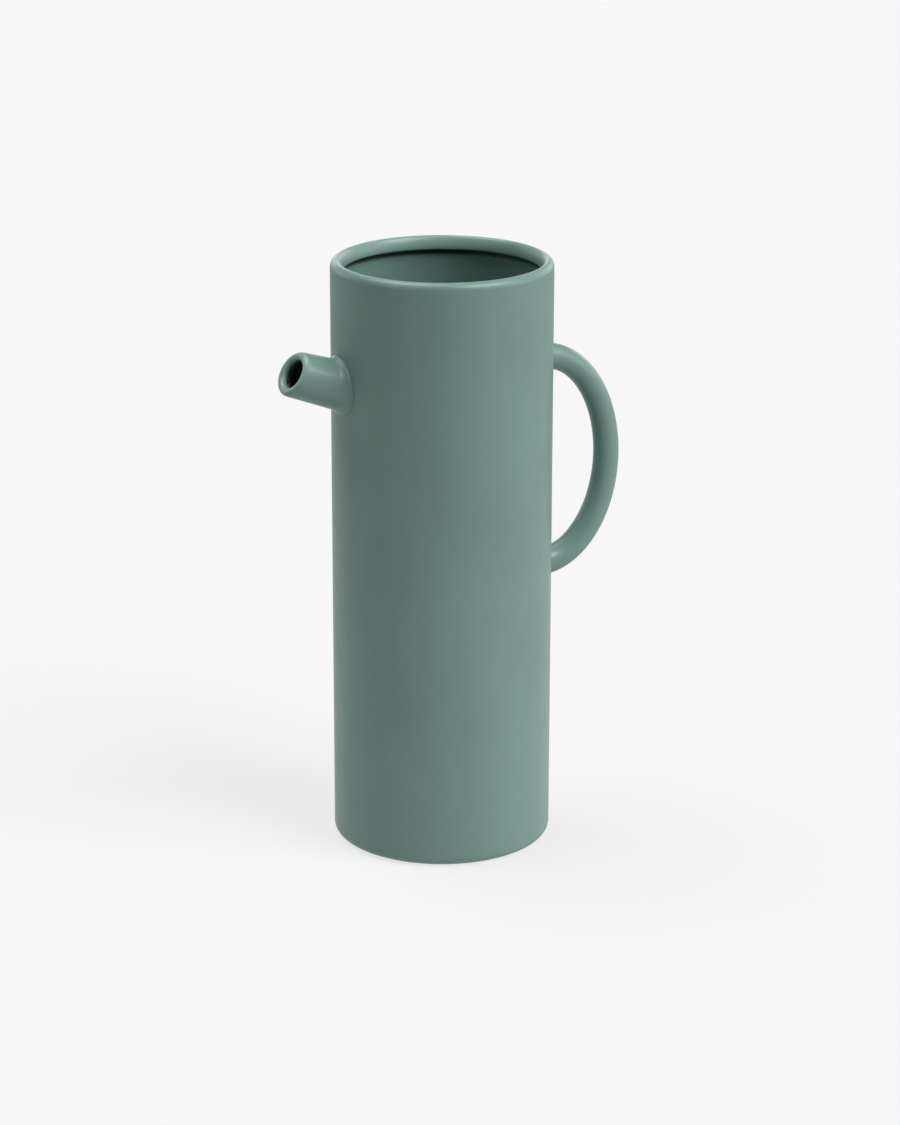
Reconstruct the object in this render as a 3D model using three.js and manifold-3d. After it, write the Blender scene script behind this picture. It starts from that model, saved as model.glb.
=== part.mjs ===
// Ceramic pitcher: a tall slip-cast cylinder with a rolled lip, a short tube spout and a round loop handle.
// The spout and the handle are separate clay pieces, cut to the wall's curve and luted to it with slip.
// Millimetres, +Z up. The origin is the centre of the flat underside, the spout points along -X and the
// handle along +X.

import * as THREE from 'three';
import { mergeVertices } from 'three/addons/utils/BufferGeometryUtils.js';
import Module from 'manifold-3d';

const wasm = await Module();
wasm.setup();

// Body
const HEIGHT = 280;
const BODY_RADIUS = 51.45;
const WALL_THICKNESS = 2.7;
const FLOOR_THICKNESS = 5;
const FLOOR_CORNER_RADIUS = 7;
const FOOT_ROUNDING = { radial: 5.2, height: 4.4 };

// Rolled lip: a thick band that reaches inward past the wall, rounded above and undercut below
const LIP_INNER_RADIUS = 45.7;
const LIP_CROWN_RADIUS = 48.3;
const LIP_OUTER_ROUNDING = 3.6;
const LIP_INNER_ROUNDING = 5.2;
const LIP_EDGE_RADIUS = 1.2;

// Spout: a tapered tube that leaves the wall on a rising axis. Its mouth has a small lip like the body's:
// the hole in the lip is narrower than the bore behind it.
const SPOUT_HEIGHT = 225.2;
const SPOUT_RISE = THREE.MathUtils.degToRad(19.7);
const SPOUT_LENGTH = 25;
const SPOUT_ROOT_RADIUS = 11.45;
const SPOUT_MOUTH_RADIUS = 10.75;
const SPOUT_BORE_RADIUS = 7.7;
const SPOUT_HOLE_RADIUS = 6.7;
const SPOUT_CROWN_RADIUS = 8.9;
const SPOUT_OUTER_ROUNDING = 2.3;
const SPOUT_INNER_ROUNDING = 1.7;
const SPOUT_LIP_DEPTH = 3.7;
const SPOUT_MOUTH_TILT = THREE.MathUtils.degToRad(9.4);
const SPOUT_MOUTH_TURN = THREE.MathUtils.degToRad(6.5);

// Handle: a round bar bent to half an ellipse whose centre lies on the wall
const HANDLE_HEIGHT = 178;
const HANDLE_REACH = 34.1;
const HANDLE_HALF_SPAN = 50.6;
const HANDLE_BAR_RADIUS = 6.2;

// Slip seams: how far each ring of slip stands out from the piece that it holds
const SPOUT_SEAM_WIDTH = 2.1;
const HANDLE_SEAM_WIDTH = 1.4;

const JOINT_GAP = 0.3;
const TRIM_MARGIN = 9;

const GLAZE_COLOUR = 0x6f9188;
const GLAZE_ROUGHNESS = 0.5;

const BODY_SEGMENTS = 72;
const SPOUT_SEGMENTS = 40;
const HANDLE_SEGMENTS = 12;
const HANDLE_STEPS = 40;
const SEAM_SIDES = 12;
const ARC_DIVISIONS = 3;
const MERGE_DISTANCE = 1e-4;

const INNER_RADIUS = BODY_RADIUS - WALL_THICKNESS;

function toManifold(geometry) {
  const bare = geometry.index ? geometry : mergeVertices(geometry);
  bare.deleteAttribute('normal');
  bare.deleteAttribute('uv');
  const merged = mergeVertices(bare, MERGE_DISTANCE);
  const vertProperties = Float32Array.from(merged.attributes.position.array);
  const triVerts = Uint32Array.from(merged.index.array);
  return new wasm.Manifold(new wasm.Mesh({ numProp: 3, vertProperties, triVerts }));
}

function toGeometry(solid) {
  const { vertProperties, triVerts } = solid.getMesh();
  const geometry = new THREE.BufferGeometry();
  geometry.setAttribute('position', new THREE.BufferAttribute(vertProperties, 3));
  geometry.setIndex(new THREE.BufferAttribute(triVerts, 1));
  geometry.computeVertexNormals();
  return geometry;
}

// A solid turned about the Z axis from a profile of (radius, height) points.
function turned(points, segments) {
  return new THREE.LatheGeometry(points, segments).rotateX(Math.PI / 2);
}

function turnedCylinder(radius, low, high, segments) {
  const profile = [[0, low], [radius, low], [radius, high], [0, high]];
  return turned(profile.map(([r, z]) => new THREE.Vector2(r, z)), segments);
}

// The frame of a piece joined to the wall: its origin is on the wall's outer face, Z runs out along the
// piece, rising by the angle `rise`, and Y is the upward side. `side` is -1 for the spout, +1 for the handle.
function wallFrame(side, height, rise) {
  const out = new THREE.Vector3(side * Math.cos(rise), 0, Math.sin(rise));
  const up = new THREE.Vector3(-side * Math.sin(rise), 0, Math.cos(rise));
  const across = new THREE.Vector3().crossVectors(up, out);
  const frame = new THREE.Matrix4().makeBasis(across, up, out);
  return frame.setPosition(side * BODY_RADIUS, 0, height);
}

// How far along such a piece's axis the line through (x, y) meets the wall's outer face.
function wallDepth(x, y, rise) {
  const setBack = Math.sqrt(BODY_RADIUS ** 2 - x ** 2) - BODY_RADIUS;
  return (setBack + y * Math.sin(rise)) / Math.cos(rise);
}

// The wall's outer face grown by the joint gap, which trims whatever is joined to it.
function wallTrimmer() {
  const radius = BODY_RADIUS + JOINT_GAP;
  return toManifold(turnedCylinder(radius, -TRIM_MARGIN, HEIGHT + TRIM_MARGIN, BODY_SEGMENTS));
}

function bodyProfile() {
  const lipShoulder = HEIGHT - LIP_OUTER_ROUNDING;
  const lipNose = HEIGHT - LIP_INNER_ROUNDING;
  const lipUnderside = lipNose - LIP_EDGE_RADIUS;
  const footCentre = BODY_RADIUS - FOOT_ROUNDING.radial;
  const cornerCentre = INNER_RADIUS - FLOOR_CORNER_RADIUS;
  const cornerHeight = FLOOR_THICKNESS + FLOOR_CORNER_RADIUS;
  const profile = new THREE.Path();
  profile.moveTo(0, 0);
  profile.lineTo(footCentre, 0);
  profile.absellipse(footCentre, FOOT_ROUNDING.height, FOOT_ROUNDING.radial, FOOT_ROUNDING.height,
    -Math.PI / 2, 0, false);
  profile.absellipse(LIP_CROWN_RADIUS, lipShoulder, BODY_RADIUS - LIP_CROWN_RADIUS, LIP_OUTER_ROUNDING,
    0, Math.PI / 2, false);
  profile.absellipse(LIP_CROWN_RADIUS, lipNose, LIP_CROWN_RADIUS - LIP_INNER_RADIUS, LIP_INNER_ROUNDING,
    Math.PI / 2, Math.PI, false);
  profile.absarc(LIP_INNER_RADIUS + LIP_EDGE_RADIUS, lipNose, LIP_EDGE_RADIUS,
    Math.PI, 1.5 * Math.PI, false);
  profile.lineTo(INNER_RADIUS, lipUnderside);
  profile.absellipse(cornerCentre, cornerHeight, FLOOR_CORNER_RADIUS, FLOOR_CORNER_RADIUS,
    0, -Math.PI / 2, true);
  profile.lineTo(0, FLOOR_THICKNESS);
  return profile.getPoints(ARC_DIVISIONS);
}

function bodyGeometry() {
  const vessel = toManifold(turned(bodyProfile(), BODY_SEGMENTS));
  const port = turnedCylinder(SPOUT_BORE_RADIUS, -TRIM_MARGIN, TRIM_MARGIN, SPOUT_SEGMENTS);
  port.applyMatrix4(wallFrame(-1, SPOUT_HEIGHT, SPOUT_RISE));
  return toGeometry(vessel.subtract(toManifold(port)));
}

function spoutRadiusAt(distance) {
  return SPOUT_ROOT_RADIUS + (SPOUT_MOUTH_RADIUS - SPOUT_ROOT_RADIUS) * distance / SPOUT_LENGTH;
}

// The tube's section, from the buried root out round the mouth's lip and back along the bore.
function spoutProfile() {
  const outerEdge = SPOUT_LENGTH - SPOUT_OUTER_ROUNDING;
  const innerEdge = SPOUT_LENGTH - SPOUT_INNER_ROUNDING;
  const lipUnderside = SPOUT_LENGTH - SPOUT_LIP_DEPTH;
  const profile = new THREE.Path();
  profile.moveTo(SPOUT_BORE_RADIUS, -TRIM_MARGIN);
  profile.lineTo(spoutRadiusAt(-TRIM_MARGIN), -TRIM_MARGIN);
  profile.absellipse(SPOUT_CROWN_RADIUS, outerEdge, SPOUT_MOUTH_RADIUS - SPOUT_CROWN_RADIUS,
    SPOUT_OUTER_ROUNDING, 0, Math.PI / 2, false);
  profile.absellipse(SPOUT_CROWN_RADIUS, innerEdge, SPOUT_CROWN_RADIUS - SPOUT_HOLE_RADIUS,
    SPOUT_INNER_ROUNDING, Math.PI / 2, Math.PI, false);
  profile.lineTo(SPOUT_BORE_RADIUS, lipUnderside);
  profile.lineTo(SPOUT_BORE_RADIUS, -TRIM_MARGIN);
  return profile.getPoints(ARC_DIVISIONS);
}

// Slides points along the tube so that the mouth's plane leans back and is turned a little towards -Y, and
// none of the root moves.
function tiltMouth(geometry) {
  const position = geometry.attributes.position;
  const tilt = Math.tan(SPOUT_MOUTH_TILT);
  const turn = Math.tan(SPOUT_MOUTH_TURN);
  for (let i = 0; i < position.count; i += 1) {
    const along = THREE.MathUtils.clamp(position.getZ(i) / SPOUT_LENGTH, 0, 1);
    const slide = along * (position.getY(i) * tilt + position.getX(i) * turn);
    position.setZ(i, position.getZ(i) - slide);
  }
  return geometry;
}

function spoutGeometry() {
  const tube = tiltMouth(turned(spoutProfile(), SPOUT_SEGMENTS));
  tube.applyMatrix4(wallFrame(-1, SPOUT_HEIGHT, SPOUT_RISE));
  return toGeometry(toManifold(tube).subtract(wallTrimmer()));
}

// Half an ellipse, run a little way into the wall at both ends so that the trimmer cuts its full section.
class HandleCurve extends THREE.Curve {
  getPoint(t, target = new THREE.Vector3()) {
    const runIn = 0.04;
    const angle = THREE.MathUtils.lerp(-runIn, Math.PI + runIn, t);
    const x = BODY_RADIUS + HANDLE_REACH * Math.sin(angle);
    return target.set(x, 0, HANDLE_HEIGHT + HANDLE_HALF_SPAN * Math.cos(angle));
  }
}

function handleGeometry() {
  const section = new THREE.Shape();
  section.absarc(0, 0, HANDLE_BAR_RADIUS, 0, 2 * Math.PI, false);
  const bar = new THREE.ExtrudeGeometry(section, {
    steps: HANDLE_STEPS,
    curveSegments: HANDLE_SEGMENTS,
    bevelEnabled: false,
    extrudePath: new HandleCurve(),
  });
  return toGeometry(toManifold(bar).subtract(wallTrimmer()));
}

// A bead of slip laid round a root of the given radius: a ring that follows the wall's curve, less the
// wall and the piece that it holds.
function seamGeometry(side, height, rise, rootRadius, width, segments) {
  const bead = new THREE.TorusGeometry(rootRadius, width, SEAM_SIDES, segments);
  const position = bead.attributes.position;
  for (let i = 0; i < position.count; i += 1) {
    const depth = wallDepth(position.getX(i), position.getY(i), rise);
    position.setZ(i, position.getZ(i) + depth);
  }
  const frame = wallFrame(side, height, rise);
  const core = turnedCylinder(rootRadius + JOINT_GAP, -TRIM_MARGIN, TRIM_MARGIN, segments);
  bead.applyMatrix4(frame);
  core.applyMatrix4(frame);
  return toGeometry(toManifold(bead).subtract(wallTrimmer()).subtract(toManifold(core)));
}

function glazedPiece(name, geometry) {
  const material = new THREE.MeshStandardMaterial({
    color: GLAZE_COLOUR,
    roughness: GLAZE_ROUGHNESS,
    metalness: 0,
  });
  const mesh = new THREE.Mesh(geometry, material);
  mesh.name = name;
  return mesh;
}

function handleSeam(height) {
  return seamGeometry(1, height, 0, HANDLE_BAR_RADIUS, HANDLE_SEAM_WIDTH, 2 * HANDLE_SEGMENTS);
}

const spoutSeam = seamGeometry(-1, SPOUT_HEIGHT, SPOUT_RISE, SPOUT_ROOT_RADIUS, SPOUT_SEAM_WIDTH,
  SPOUT_SEGMENTS);

const pitcher = new THREE.Group();
pitcher.add(
  glazedPiece('body', bodyGeometry()),
  glazedPiece('spout', spoutGeometry()),
  glazedPiece('handle', handleGeometry()),
  glazedPiece('spout_slip_seam', spoutSeam),
  glazedPiece('handle_upper_slip_seam', handleSeam(HANDLE_HEIGHT + HANDLE_HALF_SPAN)),
  glazedPiece('handle_lower_slip_seam', handleSeam(HANDLE_HEIGHT - HANDLE_HALF_SPAN)),
);

export default pitcher;
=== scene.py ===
"""Ceramic pitcher: the fired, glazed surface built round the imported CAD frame.

Metres, +Z up, spout along -X, handle along +X. Every visible piece is a fine mesh made here in code and
stands for one CAD node: the vessel with its rolled lip and spout port, the spout, the handle and the three
slip seams.
"""

import math

import bmesh
import bpy
from mathutils import Matrix, Vector


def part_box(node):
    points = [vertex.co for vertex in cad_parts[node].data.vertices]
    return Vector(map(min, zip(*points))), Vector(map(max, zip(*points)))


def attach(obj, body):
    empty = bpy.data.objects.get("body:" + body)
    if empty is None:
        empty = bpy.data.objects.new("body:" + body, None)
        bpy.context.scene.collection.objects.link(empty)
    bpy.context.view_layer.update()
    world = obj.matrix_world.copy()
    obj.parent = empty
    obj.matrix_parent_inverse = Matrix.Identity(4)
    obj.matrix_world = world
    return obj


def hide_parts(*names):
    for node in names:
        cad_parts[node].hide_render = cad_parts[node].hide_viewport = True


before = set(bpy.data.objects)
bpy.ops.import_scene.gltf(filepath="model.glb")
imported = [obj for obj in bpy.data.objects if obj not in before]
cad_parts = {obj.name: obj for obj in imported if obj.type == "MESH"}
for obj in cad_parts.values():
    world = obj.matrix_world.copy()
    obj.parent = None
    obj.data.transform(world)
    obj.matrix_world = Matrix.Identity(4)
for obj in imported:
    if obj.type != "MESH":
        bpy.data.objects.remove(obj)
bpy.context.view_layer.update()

MM = 0.001
TAU = 2 * math.pi

# ---------------------------------------------------------------- sizes that come from the frame

_, body_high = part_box("body")
_, spout_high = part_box("spout")
handle_low, handle_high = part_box("handle")
seam_low, seam_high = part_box("spout_slip_seam")

BODY_RADIUS = body_high.x
HEIGHT = body_high.z
SPOUT_ROOT_RADIUS = spout_high.y
SPOUT_HEIGHT = (seam_low.z + seam_high.z) / 2
HANDLE_BAR_RADIUS = handle_high.y
HANDLE_HEIGHT = (handle_low.z + handle_high.z) / 2
HANDLE_HALF_SPAN = (handle_high.z - handle_low.z) / 2 - HANDLE_BAR_RADIUS
HANDLE_REACH = handle_high.x - HANDLE_BAR_RADIUS - BODY_RADIUS

# ---------------------------------------------------------------- sizes of the finer shapes

WALL_THICKNESS = 2.7 * MM
INNER_RADIUS = BODY_RADIUS - WALL_THICKNESS
FLOOR_THICKNESS = 5 * MM
FLOOR_CORNER_RADIUS = 7 * MM
FOOT_RADIAL = 5.2 * MM
FOOT_RISE = 4.4 * MM

LIP_INNER_RADIUS = 45.7 * MM
LIP_CROWN_RADIUS = 48.3 * MM
LIP_OUTER_DROP = 3.6 * MM
LIP_INNER_DROP = 5.5 * MM
LIP_INNER_SQUARENESS = 1.75
LIP_UNDER_RADIAL = 1.2 * MM
LIP_DEPTH = 6.8 * MM
LIP_GROOVE_RADIUS = 0.5 * MM

SPOUT_RISE = math.radians(19.7)
SPOUT_LENGTH = 25.0 * MM
SPOUT_MOUTH_RADIUS = 10.75 * MM
SPOUT_BORE_RADIUS = 7.7 * MM
SPOUT_HOLE_RADIUS = 6.7 * MM
SPOUT_CROWN_RADIUS = 8.9 * MM
SPOUT_OUTER_DROP = 2.3 * MM
SPOUT_INNER_DROP = 1.7 * MM
SPOUT_LIP_DEPTH = 3.7 * MM
SPOUT_CORNER_SQUARENESS = 1.65
SPOUT_HOLE_LAND = 0.7 * MM
SPOUT_HOLE_EASING = 0.3 * MM
SPOUT_MOUTH_TILT = math.tan(math.radians(9.4))
SPOUT_MOUTH_TURN = math.tan(math.radians(6.5))
PORT_EDGE_ROUNDING = 1.0 * MM

HANDLE_TAPER = 0.2 * MM
HANDLE_WAIST = 0.15 * MM
HANDLE_FLARE = 0.4 * MM
HANDLE_FLARE_LENGTH = 6 * MM
HANDLE_END_CURVATURE = HANDLE_HALF_SPAN / HANDLE_REACH**2

# The spout's seam: an arc grows out of the spout's taper, and a rounded edge falls to the wall. Radii are
# measured from the spout's root radius, and heights from the wall. Angles are in degrees.
SPOUT_SEAM_LEAD_IN = ((-0.5 * MM, 6.6 * MM), (-0.29 * MM, 5.9 * MM))
SPOUT_SEAM_FLARE_RADIUS = 6.8 * MM
SPOUT_SEAM_FLARE_SINK = 0.225 * MM
SPOUT_SEAM_FLARE_HEIGHT = 5.5 * MM
SPOUT_SEAM_FLARE_ANGLES = (181, 211)
SPOUT_SEAM_EDGE_INSET = 0.5 * MM
SPOUT_SEAM_EDGE_RADII = (1.15 * MM, 2.05 * MM)
SPOUT_SEAM_EDGE_ANGLE = 70

# The handle's seams: a quarter ellipse from the bar's side to the wall, closed by a buried toe and root.
HANDLE_SEAM_WIDTH = 2.0 * MM
HANDLE_SEAM_RISE = 2.4 * MM
HANDLE_SEAM_OVERLAP = 0.05 * MM
HANDLE_SEAM_TOE = 0.1 * MM
HANDLE_SEAM_ROOT = 0.3 * MM

# How far a joined piece's end is sunk into the wall, so that no gap shows.
BURIED = 0.12 * MM

BODY_SEGMENTS = 192
TUBE_SEGMENTS = 96

# The handle's even rings stop this angle, in radians, short of the wall. One more at each end is cut to it.
HANDLE_STEPS = 160
HANDLE_FIRST_TURN = 0.03

# Rings across the flat underside and the flat floor inside, as shares of the flat part's radius.
UNDERSIDE_SHARES = (0.3, 0.6, 0.85)
FLOOR_SHARES = (0.8, 0.5, 0.25)

# The spout's port is cut in a square window of the wall's grid, this many quads to each side of its centre.
# A ring lies at each of these shares of the way out from the port to the window's edge.
PORT_WINDOW = 8
PORT_PATCH_SHARES = (0.74, 0.5, 0.3, 0.14, 0.05)

# ---------------------------------------------------------------- mesh helpers


def ellipse_arc(centre, radii, start, end, steps):
    """Points from start to end degrees round an upright ellipse, both ends included."""
    angles = [math.radians(start + (end - start) * k / steps) for k in range(steps + 1)]
    return [(centre[0] + radii[0] * math.cos(a), centre[1] + radii[1] * math.sin(a)) for a in angles]


def evenly(low, high, steps):
    """Numbers from low to high, both included."""
    return [low + (high - low) * k / steps for k in range(steps + 1)]


def chamfer_arc(centre, radii, squareness, steps):
    """A quarter superellipse, side to top. Squareness below 2 makes its ends tight and its middle flat."""
    points = []
    for k in range(steps + 1):
        a = math.pi / 2 * k / steps
        x = max(math.cos(a), 0.0) ** (2 / squareness)
        y = math.sin(a) ** (2 / squareness)
        points.append((centre[0] + radii[0] * x, centre[1] + radii[1] * y))
    return points


class Skin:
    """Collects rings of points and the quads between them, and turns them into a smooth-shaded object."""

    def __init__(self):
        self.points = []
        self.faces = []

    def ring(self, points):
        """Adds these points and returns their numbers."""
        first = len(self.points)
        self.points.extend(points)
        return list(range(first, len(self.points)))

    def bridge(self, ring_a, ring_b, first=0):
        """Quads between two rings of equal length, from vertex number `first` on."""
        count = len(ring_a)
        for k in range(first, count):
            after = (k + 1) % count
            self.faces.append((ring_a[k], ring_a[after], ring_b[after], ring_b[k]))

    def chain(self, rings, closed=False):
        """Quads between each ring and the next, and from the last to the first if closed."""
        for ring_a, ring_b in zip(rings, rings[1:]):
            self.bridge(ring_a, ring_b)
        if closed:
            self.bridge(rings[-1], rings[0])

    def fan(self, ring, centre):
        """Triangles from a ring to one point in its middle."""
        (hub,) = self.ring([centre])
        for k in range(len(ring)):
            self.faces.append((ring[k], ring[(k + 1) % len(ring)], hub))

    def finish(self, name, slot, material, node):
        """Makes the object, which rides the only body and stands for one node."""
        mesh = bpy.data.meshes.new(name)
        build = bmesh.new()
        corners = [build.verts.new(p) for p in self.points]
        for face in self.faces:
            build.faces.new([corners[k] for k in face])
        bmesh.ops.recalc_face_normals(build, faces=build.faces)
        build.to_mesh(mesh)
        build.free()
        mesh.shade_smooth()
        mesh.materials.append(material)
        piece = bpy.data.objects.new(name, mesh)
        bpy.context.scene.collection.objects.link(piece)
        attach(piece, "root")
        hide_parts(node)


def wall_frame(side, height, rise):
    """The frame of a piece joined to the wall: origin on the wall's face, Z out along the piece, Y up."""
    out = Vector((side * math.cos(rise), 0, math.sin(rise)))
    up = Vector((-side * math.sin(rise), 0, math.cos(rise)))
    axes = Matrix((up.cross(out), up, out)).transposed().to_4x4()
    return Matrix.Translation((side * BODY_RADIUS, 0, height)) @ axes


def wall_depth(x, y, rise, radius=BODY_RADIUS):
    """How far along such a piece's axis the line through (x, y) meets a cylinder round the body's axis."""
    return (math.sqrt(radius**2 - x**2) - BODY_RADIUS + y * math.sin(rise)) / math.cos(rise)


def root_ring(to_world, rise, radius, lift, bend):
    """A ring of this radius round a root's axis, lifted this far along it from the wall's outer face.

    bend is the curvature of the axis, which turns it downwards if positive.
    """
    points = []
    for k in range(TUBE_SEGMENTS):
        x = radius * math.cos(TAU * k / TUBE_SEGMENTS)
        y = radius * math.sin(TAU * k / TUBE_SEGMENTS)
        points.append(to_world @ Vector((x, y - bend * lift**2 / 2, wall_depth(x, y, rise) + lift)))
    return points


# ---------------------------------------------------------------- body


def wall_heights(centre, pitch, low, high, steps_below, steps_above):
    """Heights of the rings up a wall: even across the port's window, and wider apart away from it."""
    window = [centre + k * pitch for k in range(-PORT_WINDOW, PORT_WINDOW + 1)]
    below = evenly(low, window[0], steps_below)[1:-1]
    above = evenly(window[-1], high, steps_above)[1:-1]
    return below, window, above


def turned_ring(skin, radius, height):
    """A ring round the body's axis, starting at the first column of the spout port's window."""
    points = []
    for k in range(BODY_SEGMENTS):
        angle = math.pi + TAU * (k - PORT_WINDOW) / BODY_SEGMENTS
        points.append(Vector((radius * math.cos(angle), radius * math.sin(angle), height)))
    return skin.ring(points)


def wall_with_window(skin, radius, heights):
    """The wall's rings and quads, less a square window round the port: returns the rings and its edge."""
    below, window, above = heights
    rings = [turned_ring(skin, radius, z) for z in below + window + above]
    first = len(below)
    last = first + 2 * PORT_WINDOW
    for j in range(len(rings) - 1):
        inside_window = first <= j < last
        skin.bridge(rings[j], rings[j + 1], first=2 * PORT_WINDOW if inside_window else 0)
    span = range(2 * PORT_WINDOW)
    edge = [rings[first][k] for k in span]
    edge += [rings[first + k][2 * PORT_WINDOW] for k in span]
    edge += [rings[last][2 * PORT_WINDOW - k] for k in span]
    edge += [rings[last - k][0] for k in span]
    return rings, edge


def port_patch(skin, edge, to_world, wall_radius, hole_rings):
    """Quads from a window's edge in to the port. hole_rings are (port radius, wall radius) pairs."""
    to_local = to_world.inverted()
    corners = [to_local @ skin.points[index] for index in edge]
    angles = [math.atan2(p.y, p.x) for p in corners]
    hole, _ = hole_rings[0]
    rings = [edge]
    for share in PORT_PATCH_SHARES:
        points = []
        for p, angle in zip(corners, angles):
            x = p.x * share + hole * math.cos(angle) * (1 - share)
            y = p.y * share + hole * math.sin(angle) * (1 - share)
            points.append(to_world @ Vector((x, y, wall_depth(x, y, SPOUT_RISE, wall_radius))))
        rings.append(skin.ring(points))
    for hole, radius in hole_rings:
        points = []
        for angle in angles:
            x, y = hole * math.cos(angle), hole * math.sin(angle)
            points.append(to_world @ Vector((x, y, wall_depth(x, y, SPOUT_RISE, radius))))
        rings.append(skin.ring(points))
    skin.chain(rings)
    return rings[-1]


def body_piece(material):
    """The vessel: underside, foot, wall, rolled lip, inner wall and floor, with the port for the spout."""
    skin = Skin()
    port = wall_frame(-1, SPOUT_HEIGHT, SPOUT_RISE)
    pitch = TAU * BODY_RADIUS / BODY_SEGMENTS

    crown = LIP_CROWN_RADIUS
    lip_shoulder = HEIGHT - LIP_OUTER_DROP
    lip_nose = HEIGHT - LIP_INNER_DROP
    lip_underside = HEIGHT - LIP_DEPTH
    foot_centre = BODY_RADIUS - FOOT_RADIAL
    corner_centre = INNER_RADIUS - FLOOR_CORNER_RADIUS
    corner_height = FLOOR_THICKNESS + FLOOR_CORNER_RADIUS

    underside = [(foot_centre * share, 0) for share in UNDERSIDE_SHARES]
    foot = ellipse_arc((foot_centre, FOOT_RISE), (FOOT_RADIAL, FOOT_RISE), -90, 0, steps=16)
    outer_lip = ellipse_arc((crown, lip_shoulder), (BODY_RADIUS - crown, LIP_OUTER_DROP), 0, 90, steps=14)
    inner_radii = (LIP_INNER_RADIUS - crown, LIP_INNER_DROP)
    inner_lip = chamfer_arc((crown, lip_nose), inner_radii, LIP_INNER_SQUARENESS, steps=16)[-2::-1]
    under_radii = (LIP_UNDER_RADIAL, lip_nose - lip_underside)
    under_centre = (LIP_INNER_RADIUS + LIP_UNDER_RADIAL, lip_nose)
    underlip = ellipse_arc(under_centre, under_radii, 180, 270, steps=14)[1:]
    groove_centre = (INNER_RADIUS - LIP_GROOVE_RADIUS, lip_underside - LIP_GROOVE_RADIUS)
    groove = ellipse_arc(groove_centre, (LIP_GROOVE_RADIUS, LIP_GROOVE_RADIUS), 90, 0, steps=5)
    corner_radii = (FLOOR_CORNER_RADIUS, FLOOR_CORNER_RADIUS)
    corner = ellipse_arc((corner_centre, corner_height), corner_radii, 0, -90, steps=12)
    floor = [(corner_centre * share, FLOOR_THICKNESS) for share in FLOOR_SHARES]

    inner_port_height = SPOUT_HEIGHT - WALL_THICKNESS * math.tan(SPOUT_RISE)
    inner_pitch = pitch * INNER_RADIUS / BODY_RADIUS
    rows = {"steps_below": 40, "steps_above": 8}
    outer_heights = wall_heights(SPOUT_HEIGHT, pitch, FOOT_RISE, lip_shoulder, **rows)
    inner_heights = wall_heights(inner_port_height, inner_pitch, corner_height, groove_centre[1], **rows)

    outer_wall, outer_edge = wall_with_window(skin, BODY_RADIUS, outer_heights)
    inner_wall, inner_edge = wall_with_window(skin, INNER_RADIUS, inner_heights)
    bottom = [turned_ring(skin, r, z) for r, z in underside + foot]
    lip = [turned_ring(skin, r, z) for r, z in outer_lip + inner_lip + underlip + groove]
    inside = [turned_ring(skin, r, z) for r, z in corner + floor]
    skin.fan(bottom[0], (0, 0, 0))
    skin.chain(bottom + [outer_wall[0]])
    skin.chain([outer_wall[-1]] + lip + [inner_wall[-1]])
    skin.chain([inner_wall[0]] + inside)
    skin.fan(inside[-1], (0, 0, FLOOR_THICKNESS))

    outer_hole = port_patch(skin, outer_edge, port, BODY_RADIUS, [(SPOUT_BORE_RADIUS, BODY_RADIUS)])
    rounding = ellipse_arc((SPOUT_BORE_RADIUS + PORT_EDGE_ROUNDING, INNER_RADIUS + PORT_EDGE_ROUNDING),
                           (PORT_EDGE_ROUNDING, PORT_EDGE_ROUNDING), 270, 180, steps=6)
    inner_hole = port_patch(skin, inner_edge, port, INNER_RADIUS, rounding)
    skin.bridge(outer_hole, inner_hole)
    skin.finish("pitcher_body", "body_glaze", material, "body")


# ---------------------------------------------------------------- spout, handle and seams


def spout_piece(material):
    """A tapered tube: from the wall out to the rounded, leaning mouth, and back down the bore."""
    skin = Skin()
    to_world = wall_frame(-1, SPOUT_HEIGHT, SPOUT_RISE)
    edge = SPOUT_LENGTH - SPOUT_OUTER_DROP

    def tube_ring(radius, share, beyond=0.0):
        """A ring at this share of the way from the wall to the mouth's edge, and this far beyond it."""
        points = []
        for k in range(TUBE_SEGMENTS):
            x = radius * math.cos(TAU * k / TUBE_SEGMENTS)
            y = radius * math.sin(TAU * k / TUBE_SEGMENTS)
            root = wall_depth(x, y, SPOUT_RISE) - BURIED
            mouth = edge - y * SPOUT_MOUTH_TILT - x * SPOUT_MOUTH_TURN
            points.append(to_world @ Vector((x, y, root + (mouth - root) * share + beyond)))
        return skin.ring(points)

    shares = evenly(0, 1, steps=20)
    rings = [tube_ring(SPOUT_ROOT_RADIUS + (SPOUT_MOUTH_RADIUS - SPOUT_ROOT_RADIUS) * s, s) for s in shares]
    outer_radii = (SPOUT_MOUTH_RADIUS - SPOUT_CROWN_RADIUS, SPOUT_OUTER_DROP)
    inner_radii = (SPOUT_CROWN_RADIUS - SPOUT_HOLE_RADIUS, SPOUT_INNER_DROP)
    inner_centre = (SPOUT_CROWN_RADIUS, SPOUT_OUTER_DROP - SPOUT_INNER_DROP)
    outer = chamfer_arc((SPOUT_CROWN_RADIUS, 0), outer_radii, SPOUT_CORNER_SQUARENESS, steps=16)[1:]
    inner = ellipse_arc(inner_centre, inner_radii, 90, 180, steps=10)[1:]
    undercut = [(SPOUT_HOLE_RADIUS, inner_centre[1] - SPOUT_HOLE_LAND),
                (SPOUT_HOLE_RADIUS + SPOUT_HOLE_EASING, inner_centre[1] - 2 * SPOUT_HOLE_LAND),
                (SPOUT_BORE_RADIUS, SPOUT_OUTER_DROP - SPOUT_LIP_DEPTH)]
    rings += [tube_ring(radius, 1, beyond) for radius, beyond in outer + inner + undercut]
    rings += [tube_ring(SPOUT_BORE_RADIUS, share) for share in reversed(shares[:-1])]
    skin.chain(rings, closed=True)
    skin.finish("pitcher_spout", "body_glaze", material, "spout")


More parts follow.
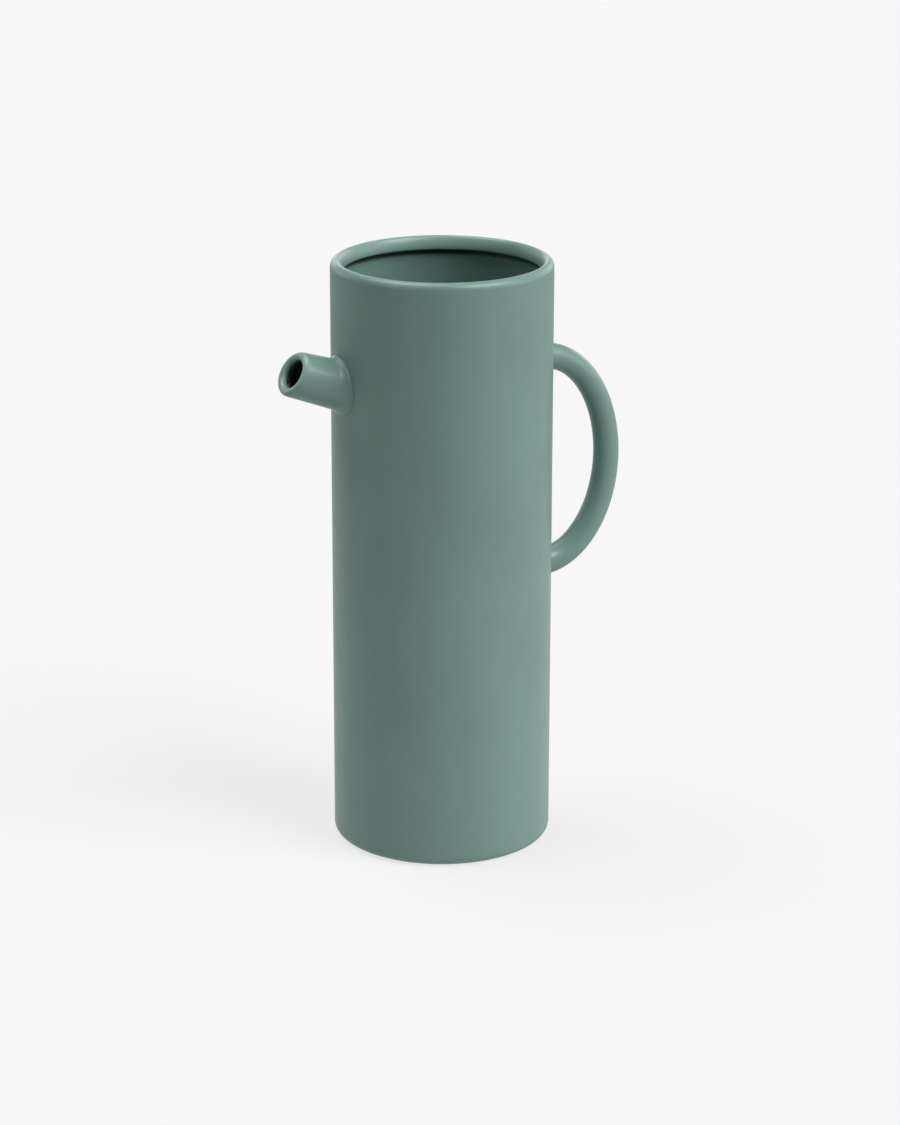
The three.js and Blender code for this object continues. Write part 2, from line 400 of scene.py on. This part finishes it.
def bar_radius(turn):
    """The handle's bar is thinnest round its upper bend, thicker below, and flares at the wall."""
    from_wall = HANDLE_REACH * math.sin(turn)
    flare = HANDLE_FLARE * math.exp(-from_wall / HANDLE_FLARE_LENGTH)
    return HANDLE_BAR_RADIUS - HANDLE_TAPER * math.cos(turn) - HANDLE_WAIST * math.sin(turn) + flare


def handle_piece(material):
    """A round bar along half an ellipse, with both ends cut to the wall."""
    skin = Skin()

    def bar_ring(turn):
        centre = Vector((BODY_RADIUS + HANDLE_REACH * math.sin(turn), 0,
                         HANDLE_HEIGHT + HANDLE_HALF_SPAN * math.cos(turn)))
        along = Vector((HANDLE_REACH * math.cos(turn), 0, -HANDLE_HALF_SPAN * math.sin(turn))).normalized()
        outward = Vector((-along.z, 0, along.x))
        across = Vector((0, 1, 0))
        points = []
        for k in range(TUBE_SEGMENTS):
            x = bar_radius(turn) * math.cos(TAU * k / TUBE_SEGMENTS)
            y = bar_radius(turn) * math.sin(TAU * k / TUBE_SEGMENTS)
            points.append(centre + across * x + outward * y)
        return points

    turns = evenly(HANDLE_FIRST_TURN, math.pi - HANDLE_FIRST_TURN, HANDLE_STEPS)
    rings = [bar_ring(turn) for turn in turns]
    rings = [seat_on_wall(rings[0])] + rings + [seat_on_wall(rings[-1])]
    rings = [skin.ring(points) for points in rings]
    skin.chain(rings)
    for ring in (rings[0], rings[-1]):
        middle = sum((skin.points[k] for k in ring), Vector()) / len(ring)
        skin.fan(ring, middle)
    skin.finish("pitcher_handle", "body_glaze", material, "handle")


def seat_on_wall(points):
    """The same ring slid along X to just inside the wall's outer face."""
    return [Vector((math.sqrt(BODY_RADIUS**2 - p.y**2) - BURIED, p.y, p.z)) for p in points]


def seam_piece(name, node, material, to_world, rise, profile, bend=0.0):
    """A ring of slip round a root. profile is (radius, lift) pairs from the held piece to the wall."""
    skin = Skin()
    rings = [skin.ring(root_ring(to_world, rise, radius, lift, bend)) for radius, lift in profile]
    skin.chain(rings, closed=True)
    skin.finish(name, "seam_glaze", material, node)


def spout_seam_profile():
    """A long flare that grows out of the spout's taper, and a steep, rounded edge on the wall."""
    root = SPOUT_ROOT_RADIUS
    lead_in = [(root + radius, lift) for radius, lift in SPOUT_SEAM_LEAD_IN]
    flare_centre = (root + SPOUT_SEAM_FLARE_RADIUS - SPOUT_SEAM_FLARE_SINK, SPOUT_SEAM_FLARE_HEIGHT)
    flare_radii = (SPOUT_SEAM_FLARE_RADIUS, SPOUT_SEAM_FLARE_RADIUS)
    flare = ellipse_arc(flare_centre, flare_radii, *SPOUT_SEAM_FLARE_ANGLES, steps=16)
    edge_centre = (root + SPOUT_SEAM_EDGE_INSET, 0)
    edge = ellipse_arc(edge_centre, SPOUT_SEAM_EDGE_RADII, SPOUT_SEAM_EDGE_ANGLE, 0, steps=12)
    outermost = edge[-1][0]
    innermost = lead_in[0][0]
    return lead_in + flare + edge + [(outermost, -BURIED), (innermost, -BURIED)]


def handle_seam_profile(radius):
    """A plain wiped fillet, tangent to the bar and to the wall."""
    centre = (radius + HANDLE_SEAM_WIDTH, HANDLE_SEAM_RISE)
    radii = (HANDLE_SEAM_WIDTH + HANDLE_SEAM_OVERLAP, HANDLE_SEAM_RISE)
    fillet = ellipse_arc(centre, radii, 180, 270, steps=14)
    toe = radius + HANDLE_SEAM_WIDTH + HANDLE_SEAM_TOE
    return fillet + [(toe, -BURIED), (radius - HANDLE_SEAM_ROOT, -BURIED)]


# ---------------------------------------------------------------- materials

GLAZE_COLOUR = (0.167, 0.286, 0.253)
# A pale glaze colour: where the glaze runs thin on edges, and also painted light over the lip and mouth.
THIN_GLAZE_AND_LIGHT_COLOUR = (0.27, 0.42, 0.378)
# A near-black colour for painted shade, in the crevice under the lip and down the spout's bore.
PAINTED_SHADE_COLOUR = (0.012, 0.02, 0.017)
CLAY_COLOUR = (0.56, 0.5, 0.41)
CLAY_SHADE_COLOUR = (0.45, 0.39, 0.31)

# Noise runs from 0 to 1 but is mostly near its middle. Each spread is the part that becomes the full range.
NOISE_SPREAD = (0.3, 0.7)
WANDER_SPREAD = (0.2, 0.8)
GRAIN_SPREAD = (0.35, 0.65)

ROUGHNESS = 0.42
CLAY_EXTRA_ROUGHNESS = 0.45
GLOSS_COAT = 0.25
GLOSS_COAT_ROUGHNESS = 0.2

CLOUD_SIZE = 38 * MM
CLOUD_STRETCH = (1, 1, 0.6)
CLOUD_SHADE = 0.04
BREATH_SIZE = 7 * MM
BREATH_TINT = (0.98, 0.985, 0.985)
ROUGHNESS_SHADE = 0.02
SLOW_WAVE_SIZE = 26 * MM
SLOW_WAVE_DEPTH = 0.04 * MM
PEEL_SIZE = 1.3 * MM
PEEL_DEPTH = 0.005 * MM

# Where each effect starts and where it is full: outward from the lip's crown, upward from the lip's
# underside, outward from the wall's inner face, out from the spout's axis, and outward from its mouth.
# The pale glaze on the lip and round the mouth is thin glaze and painted light at once; the crevice under
# the lip and the bore get near-black painted shade. The lip's and the mouth's shares are how much of the
# pale colour shows there.
LIP_THINNING_AND_LIGHT = 0.25
LIP_PALE_ACROSS = (0.3 * MM, -0.7 * MM)
LIP_PALE_HEIGHT = 1 * MM
CREVICE_SHADE_TOP = (0.9 * MM, 0.2 * MM)
CREVICE_SHADE_BOTTOM = (-3.4 * MM, -1.2 * MM)
CREVICE_SHADE_OUT = (1 * MM, 0.3 * MM)
MOUTH_THINNING_AND_LIGHT = 0.4
MOUTH_PALE_DEPTH = (-2.2 * MM, -0.4 * MM)
# Painted shade down the bore: near black, inside this distance of the spout's axis and deeper than this.
BORE_SHADE_RADIUS = (8.4 * MM, 7.9 * MM)
BORE_SHADE_DEPTH = (-2 * MM, -5.5 * MM)

FOOT_LINE_HEIGHT = 0.7 * MM
FOOT_LINE_BLUR = 0.1 * MM
FOOT_LINE_WANDER = 0.4 * MM
FOOT_LINE_WANDER_SIZE = 9 * MM
CLAY_GRAIN_SIZE = 0.9 * MM
UP = (0, 0, 1)


class Shading:
    """A material's node tree, with a short method for each kind of node that the glaze uses."""

    def __init__(self, name):
        self.material = bpy.data.materials.new(name)
        self.material.use_nodes = True
        self.tree = self.material.node_tree
        self.surface = self.tree.nodes["Principled BSDF"]
        self.place = self.tree.nodes.new("ShaderNodeTexCoord").outputs["Object"]

    def set(self, socket, value):
        """Links a socket to another, or gives it a plain value."""
        if isinstance(value, bpy.types.NodeSocket):
            self.tree.links.new(value, socket)
        elif isinstance(value, tuple) and len(socket.default_value) > len(value):
            socket.default_value = (*value, 1)
        else:
            socket.default_value = value

    def noise(self, size, detail, stretch=(1, 1, 1)):
        """Smooth noise, 0 to 1, with features about this many metres across."""
        scaled = self.vector("MULTIPLY", self.place, tuple(k / size for k in stretch))
        node = self.tree.nodes.new("ShaderNodeTexNoise")
        self.set(node.inputs["Vector"], scaled.outputs["Vector"])
        self.set(node.inputs["Scale"], 1.0)
        self.set(node.inputs["Detail"], detail)
        return node.outputs["Fac"]

    def vector(self, operation, first, second):
        node = self.tree.nodes.new("ShaderNodeVectorMath")
        node.operation = operation
        self.set(node.inputs[0], first)
        self.set(node.inputs[1], second)
        return node

    def along(self, origin, direction):
        """The distance from a point, in metres, along a direction."""
        offset = self.vector("SUBTRACT", self.place, tuple(origin)).outputs["Vector"]
        return self.vector("DOT_PRODUCT", offset, tuple(direction)).outputs["Value"]

    def from_axis(self, origin, direction):
        """The distance, in metres, from the line through a point along a direction."""
        offset = self.vector("SUBTRACT", self.place, tuple(origin)).outputs["Vector"]
        across = self.vector("CROSS_PRODUCT", offset, tuple(direction)).outputs["Vector"]
        length = self.tree.nodes.new("ShaderNodeVectorMath")
        length.operation = "LENGTH"
        self.set(length.inputs[0], across)
        return length.outputs["Value"]

    def ramp(self, value, low, high, out_low=0.0, out_high=1.0):
        """The value carried from low..high to out_low..out_high, eased at both ends."""
        node = self.tree.nodes.new("ShaderNodeMapRange")
        node.interpolation_type = "SMOOTHSTEP"
        for name, number in zip(("Value", "From Min", "From Max", "To Min", "To Max"),
                                (value, low, high, out_low, out_high)):
            self.set(node.inputs[name], number)
        return node.outputs["Result"]

    def maths(self, operation, first, second):
        node = self.tree.nodes.new("ShaderNodeMath")
        node.operation = operation
        self.set(node.inputs[0], first)
        self.set(node.inputs[1], second)
        return node.outputs["Value"]

    def blend(self, colour_a, colour_b, share, mode="MIX"):
        node = self.tree.nodes.new("ShaderNodeMix")
        node.data_type = "RGBA"
        node.blend_type = mode
        self.set(node.inputs["Factor"], share)
        colour_sockets = [socket for socket in node.inputs if socket.type == "RGBA"]
        self.set(colour_sockets[0], colour_a)
        self.set(colour_sockets[1], colour_b)
        return next(socket for socket in node.outputs if socket.type == "RGBA")

    def bump(self, height, distance, under=None):
        node = self.tree.nodes.new("ShaderNodeBump")
        self.set(node.inputs["Height"], height)
        self.set(node.inputs["Distance"], distance)
        if under is not None:
            self.set(node.inputs["Normal"], under)
        return node.outputs["Normal"]


def glaze(name, finish=None):
    """Satin matt glaze: cloudy colour and a faint orange peel, then what `finish` adds to the piece,
    painted light and painted shade included.
    """
    s = Shading(name)
    clouds = s.ramp(s.noise(CLOUD_SIZE, detail=3, stretch=CLOUD_STRETCH), *NOISE_SPREAD)
    breath = s.ramp(s.noise(BREATH_SIZE, detail=3), *NOISE_SPREAD)
    peel = s.noise(PEEL_SIZE, detail=1)
    slow_wave = s.noise(SLOW_WAVE_SIZE, detail=1)

    darker = tuple(c * (1 - CLOUD_SHADE) for c in GLAZE_COLOUR)
    lighter = tuple(c * (1 + CLOUD_SHADE) for c in GLAZE_COLOUR)
    colour = s.blend(darker, lighter, clouds)
    colour = s.blend(colour, BREATH_TINT, breath, mode="MULTIPLY")
    patchy = s.ramp(breath, 0, 1, ROUGHNESS - ROUGHNESS_SHADE, ROUGHNESS + ROUGHNESS_SHADE)
    roughness = s.maths("ADD", patchy, s.ramp(clouds, 0, 1, -ROUGHNESS_SHADE, ROUGHNESS_SHADE))
    if finish:
        colour, roughness = finish(s, colour, roughness)

    normal = s.bump(slow_wave, SLOW_WAVE_DEPTH)
    normal = s.bump(peel, PEEL_DEPTH, under=normal)
    s.set(s.surface.inputs["Base Color"], colour)
    s.set(s.surface.inputs["Roughness"], roughness)
    s.set(s.surface.inputs["Normal"], normal)
    s.set(s.surface.inputs["Coat Weight"], GLOSS_COAT)
    s.set(s.surface.inputs["Coat Roughness"], GLOSS_COAT_ROUGHNESS)
    return s.material


def measured_from(place, offsets):
    """The two places that lie at these offsets from one place."""
    return [place + offset for offset in offsets]


def finish_and_shade_body(s, colour, roughness):
    """Thin, pale glaze over the lip, partly painted light; near-black painted shade in the crevice under
    it; bare clay on the wiped foot.
    """
    height = s.along((0, 0, 0), UP)
    radius = s.from_axis((0, 0, 0), UP)
    underside = HEIGHT - LIP_DEPTH
    # The lip's crown and inner face are paled: partly thin glaze, partly painted light.
    inward = s.ramp(radius, *measured_from(LIP_CROWN_RADIUS, LIP_PALE_ACROSS))
    upward = s.ramp(height, underside, underside + LIP_PALE_HEIGHT, 0.0, LIP_THINNING_AND_LIGHT)
    colour = s.blend(colour, THIN_GLAZE_AND_LIGHT_COLOUR, s.maths("MULTIPLY", inward, upward))
    # Painted shade: the wall just under the lip is darkened nearly to black.
    inside = s.ramp(radius, *measured_from(INNER_RADIUS, CREVICE_SHADE_OUT))
    below = s.ramp(height, *measured_from(underside, CREVICE_SHADE_TOP))
    above = s.ramp(height, *measured_from(underside, CREVICE_SHADE_BOTTOM))
    in_crevice_shade = s.maths("MULTIPLY", s.maths("MULTIPLY", above, below), inside)
    colour = s.blend(colour, PAINTED_SHADE_COLOUR, in_crevice_shade)

    wavering = s.noise(FOOT_LINE_WANDER_SIZE, detail=3)
    wander = s.ramp(wavering, *WANDER_SPREAD, -FOOT_LINE_WANDER, FOOT_LINE_WANDER)
    wiped_edge = s.maths("ADD", height, wander)
    glazed = s.ramp(wiped_edge, FOOT_LINE_HEIGHT - FOOT_LINE_BLUR, FOOT_LINE_HEIGHT + FOOT_LINE_BLUR)
    grain = s.ramp(s.noise(CLAY_GRAIN_SIZE, detail=4), *GRAIN_SPREAD)
    clay = s.blend(CLAY_SHADE_COLOUR, CLAY_COLOUR, grain)
    colour = s.blend(clay, colour, glazed)
    return colour, s.maths("ADD", roughness, s.ramp(glazed, 0, 1, CLAY_EXTRA_ROUGHNESS, 0.0))


def finish_and_shade_spout(s, colour, roughness):
    """Thin, pale glaze round the mouth, partly painted light, and near-black painted shade down the bore.
    """
    root = wall_frame(-1, SPOUT_HEIGHT, SPOUT_RISE)
    mouth = root @ Vector((0, 0, SPOUT_LENGTH))
    facing = (root.to_3x3() @ Vector((SPOUT_MOUTH_TURN, SPOUT_MOUTH_TILT, 1))).normalized()
    depth = s.along(mouth, facing)
    # The mouth's face and inner rounding are paled: partly thin glaze, partly painted light.
    colour = s.blend(colour, THIN_GLAZE_AND_LIGHT_COLOUR, s.ramp(depth, *MOUTH_PALE_DEPTH, 0.0, MOUTH_THINNING_AND_LIGHT))
    # Painted shade: the bore is darkened nearly to black.
    inside = s.ramp(s.from_axis(mouth, root.to_3x3() @ Vector(UP)), *BORE_SHADE_RADIUS)
    in_bore_shade = s.maths("MULTIPLY", inside, s.ramp(depth, *BORE_SHADE_DEPTH))
    return s.blend(colour, PAINTED_SHADE_COLOUR, in_bore_shade), roughness


# ---------------------------------------------------------------- build

body_piece(glaze("sage_glaze_body", finish_and_shade_body))
spout_piece(glaze("sage_glaze_spout", finish_and_shade_spout))
handle_piece(glaze("sage_glaze_handle"))

seam_glaze = glaze("sage_glaze_seam")
spout_root = wall_frame(-1, SPOUT_HEIGHT, SPOUT_RISE)
seam_piece("pitcher_spout_seam", "spout_slip_seam", seam_glaze, spout_root, SPOUT_RISE,
           spout_seam_profile())
for place, sign, turn in (("upper", 1, 0), ("lower", -1, math.pi)):
    root = wall_frame(1, HANDLE_HEIGHT + sign * HANDLE_HALF_SPAN, 0)
    seam_piece(f"pitcher_handle_{place}_seam", f"handle_{place}_slip_seam", seam_glaze, root, 0,
               handle_seam_profile(bar_radius(turn)), bend=sign * HANDLE_END_CURVATURE)

# ---------------------------------------------------------------- floor, light and camera

FLOOR_HALF_WIDTH = 6.0
FLOOR_ALBEDO = 0.18
FLOOR_LIFT = 0.7
FLOOR_GLOW = 0.163
FLOOR_POOL = 0.436
FLOOR_POOL_RADIUS = 1.3
BACKDROP_COLOUR = (0.92, 0.92, 0.92)
LIGHT_SPREAD = 40


def add_floor():
    """A matt grey floor that the camera sees lifted to near white.

    It also glows, unseen, on the pitcher: faintly all over, and more in a wide pool round the foot.
    """
    mesh = bpy.data.meshes.new("studio_floor")
    half = FLOOR_HALF_WIDTH
    corners = [(-half, -half, 0), (half, -half, 0), (half, half, 0), (-half, half, 0)]
    mesh.from_pydata(corners, [], [(0, 1, 2, 3)])
    floor = bpy.data.objects.new("studio_floor", mesh)
    bpy.context.scene.collection.objects.link(floor)
    material = bpy.data.materials.new("studio_floor_white")
    material.use_nodes = True
    tree = material.node_tree
    matt = tree.nodes["Principled BSDF"]
    matt.inputs["Base Color"].default_value = (FLOOR_ALBEDO, FLOOR_ALBEDO, FLOOR_ALBEDO, 1)
    matt.inputs["Roughness"].default_value = 1.0
    matt.inputs["Specular IOR Level"].default_value = 0.0
    lift = tree.nodes.new("ShaderNodeEmission")
    lift.inputs["Strength"].default_value = FLOOR_LIFT
    pool = tree.nodes.new("ShaderNodeEmission")
    distance = tree.nodes.new("ShaderNodeVectorMath")
    distance.operation = "LENGTH"
    fade = tree.nodes.new("ShaderNodeMapRange")
    fade.interpolation_type = "SMOOTHSTEP"
    for socket, value in (("From Min", FLOOR_POOL_RADIUS), ("From Max", 0.0),
                          ("To Min", FLOOR_GLOW), ("To Max", FLOOR_POOL)):
        fade.inputs[socket].default_value = value
    tree.links.new(tree.nodes.new("ShaderNodeTexCoord").outputs["Object"], distance.inputs[0])
    tree.links.new(distance.outputs["Value"], fade.inputs["Value"])
    tree.links.new(fade.outputs["Result"], pool.inputs["Strength"])
    seen = tree.nodes.new("ShaderNodeLightPath")
    only_seen = tree.nodes.new("ShaderNodeMixShader")
    both = tree.nodes.new("ShaderNodeAddShader")
    tree.links.new(seen.outputs["Is Camera Ray"], only_seen.inputs["Fac"])
    tree.links.new(pool.outputs["Emission"], only_seen.inputs[1])
    tree.links.new(lift.outputs["Emission"], only_seen.inputs[2])
    tree.links.new(matt.outputs["BSDF"], both.inputs[0])
    tree.links.new(only_seen.outputs["Shader"], both.inputs[1])
    tree.links.new(both.outputs["Shader"], tree.nodes["Material Output"].inputs["Surface"])
    mesh.materials.append(material)


def add_sun(name, azimuth, elevation, strength, spread):
    """A distant soft light. Azimuth 0 is from -Y and 90 from +X, in degrees."""
    data = bpy.data.lights.new(name, "SUN")
    data.energy = strength
    data.angle = math.radians(spread)
    light = bpy.data.objects.new(name, data)
    a, e = math.radians(azimuth), math.radians(elevation)
    towards = Vector((math.sin(a) * math.cos(e), -math.cos(a) * math.cos(e), math.sin(e)))
    light.rotation_mode = "QUATERNION"
    light.rotation_quaternion = towards.to_track_quat("Z", "Y")
    bpy.context.scene.collection.objects.link(light)


def add_world():
    """Behind the floor's far edge, a backdrop as pale as the floor. It lights nothing."""
    world = bpy.data.worlds.new("studio")
    world.use_nodes = True
    tree = world.node_tree
    unlit = tree.nodes["Background"]
    unlit.inputs["Strength"].default_value = 0.0
    backdrop = tree.nodes.new("ShaderNodeBackground")
    backdrop.inputs["Color"].default_value = (*BACKDROP_COLOUR, 1)
    seen = tree.nodes.new("ShaderNodeLightPath")
    only_seen = tree.nodes.new("ShaderNodeMixShader")
    tree.links.new(seen.outputs["Is Camera Ray"], only_seen.inputs["Fac"])
    tree.links.new(unlit.outputs["Background"], only_seen.inputs[1])
    tree.links.new(backdrop.outputs["Background"], only_seen.inputs[2])
    tree.links.new(only_seen.outputs["Shader"], tree.nodes["World Output"].inputs["Surface"])
    bpy.context.scene.world = world


def add_camera():
    """A long lens in front and a little to the left, well above the lip, looking down."""
    azimuth = math.radians(-24.15)
    distance = 1.5543
    height = 0.6405
    pitch = math.radians(18.063)
    pan = math.radians(0.141)
    roll = math.radians(0.09)
    data = bpy.data.cameras.new("main_camera")
    data.sensor_width = 36
    data.lens = 111.13
    camera = bpy.data.objects.new("main_camera", data)
    place = Matrix.Translation((math.sin(azimuth) * distance, -math.cos(azimuth) * distance, height))
    turn = Matrix.Rotation(azimuth - pan, 4, "Z") @ Matrix.Rotation(math.pi / 2 - pitch, 4, "X")
    camera.matrix_world = place @ turn @ Matrix.Rotation(roll, 4, "Z")
    bpy.context.scene.collection.objects.link(camera)
    bpy.context.scene.camera = camera


add_floor()
# Each lamp's name, azimuth, elevation and strength.
for name, azimuth, elevation, strength in (
    ("low_front", 30, 6, 0.23),
    ("low_front_right", 60, 6, 0.66),
    ("low_right", 90, 6, 0.22),
    ("low_back_right", 120, 6, 0.6),
    ("low_back", 165, 6, 0.65),
    ("low_back_left", 210, 6, 0.45),
    ("left_fill", 285, 26, 0.23),
    ("key", 36, 48, 2.52),
    ("top_back", 225, 70, 1.83),
):
    add_sun(name, azimuth, elevation, strength, LIGHT_SPREAD)
add_world()
bpy.context.scene.view_settings.view_transform = "Standard"
add_camera()
